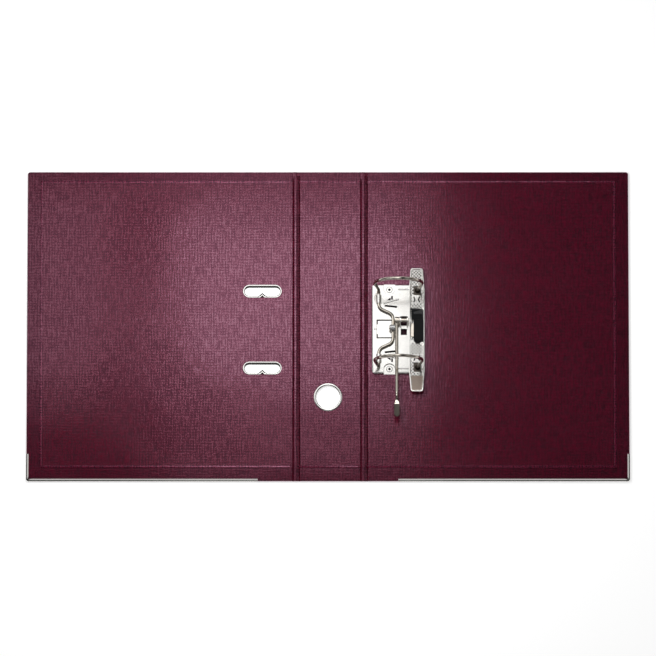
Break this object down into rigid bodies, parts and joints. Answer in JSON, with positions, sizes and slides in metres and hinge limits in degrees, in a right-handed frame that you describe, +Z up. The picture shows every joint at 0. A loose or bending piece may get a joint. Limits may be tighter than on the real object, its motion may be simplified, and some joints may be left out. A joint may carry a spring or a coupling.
{
  "type": "lever arch file",
  "caption": "Lever arch file lying open: linen-embossed vinyl covers on a hinged spine, finger ring, eyeletted slots, and a nickel-plated lever arch mechanism with press bar.",
  "frame": {"origin": "on the table under the middle of the open file", "axes": "+X across the open file from the front cover to the back cover, +Y towards the top edge, +Z up off the inner side"},
  "size_m": [0.6136, 0.322, 0.0679],
  "materials": {
    "vinyl": "semi-gloss linen-embossed burgundy vinyl",
    "lining": "linen-embossed burgundy lining sheet",
    "greyboard": "grey pressed board, hidden in the covers",
    "nickel_steel": "bright nickel plating on steel",
    "spring_steel": "plain bright spring steel",
    "black_plastic": "black moulded plastic"
  },
  "bodies": {
    "back_cover": {"back_board": "greyboard", "back_wrap": "vinyl", "back_lining": "lining", "back_edge_rail": "nickel_steel", "base_plate": "nickel_steel", "plate_rivets": "nickel_steel", "upper_post": "nickel_steel", "lower_post": "nickel_steel", "leaf_spring": "spring_steel", "spring_rivet": "nickel_steel"},
    "spine": {"spine_board": "greyboard", "spine_wrap": "vinyl", "spine_lining": "lining", "finger_ring": "nickel_steel", "finger_ring_washer": "nickel_steel", "back_hinge_strip": "vinyl", "front_hinge_strip": "vinyl"},
    "front_cover": {"front_board": "greyboard", "front_wrap": "vinyl", "front_lining": "lining", "front_edge_rail": "nickel_steel", "upper_slot_eyelet": "nickel_steel", "lower_slot_eyelet": "nickel_steel", "upper_slot_washer": "nickel_steel", "lower_slot_washer": "nickel_steel"},
    "arch": {"arch_wire": "nickel_steel"},
    "lever": {"lever_arm": "nickel_steel", "lever_axle": "nickel_steel", "roller_pin": "nickel_steel"},
    "roller": {"roller": "spring_steel"},
    "press_bar": {"press_bar": "nickel_steel", "flap_pin": "nickel_steel"},
    "press_flap": {"press_flap": "black_plastic"}
  },
  "joints": [
    {"name": "back_hinge", "type": "hinge", "parent": "back_cover", "child": "spine", "pos_m": [0.0345, 0, 0.0001], "axis": [0, 1, 0], "range_deg": [0, 90], "deforming": ["back_hinge_strip"]},
    {"name": "front_hinge", "type": "hinge", "parent": "spine", "child": "front_cover", "pos_m": [-0.0345, 0, 0.0001], "axis": [0, 1, 0], "range_deg": [0, 90], "deforming": ["front_hinge_strip"]},
    {"name": "lever_pivot", "type": "hinge", "parent": "back_cover", "child": "lever", "pos_m": [0.0699, 0.00354, 0.01545], "axis": [1, 0, 0], "range_deg": [-85, 0]},
    {"name": "arch_pivot", "type": "hinge", "parent": "back_cover", "child": "arch", "pos_m": [0.0517, -0.0036, 0.0081], "axis": [0, 1, 0], "range_deg": [-38, 0]},
    {"name": "roller_spin", "type": "hinge", "parent": "lever", "child": "roller", "pos_m": [0.0659, -0.0036, 0.01285], "axis": [1, 0, 0], "continuous": true},
    {"name": "bar_slide", "type": "slide", "parent": "back_cover", "child": "press_bar", "axis": [0.1305, 0, 0.9914], "range_m": [0, 0.028]},
    {"name": "flap_hinge", "type": "hinge", "parent": "press_bar", "child": "press_flap", "pos_m": [0.0852, -0.0066, 0.0089], "axis": [0, -1, 0], "range_deg": [0, 75]}
  ],
  "couplings": [
    {"joint": "arch_pivot", "follows": "lever_pivot", "ratio": 0.447}
  ]
}
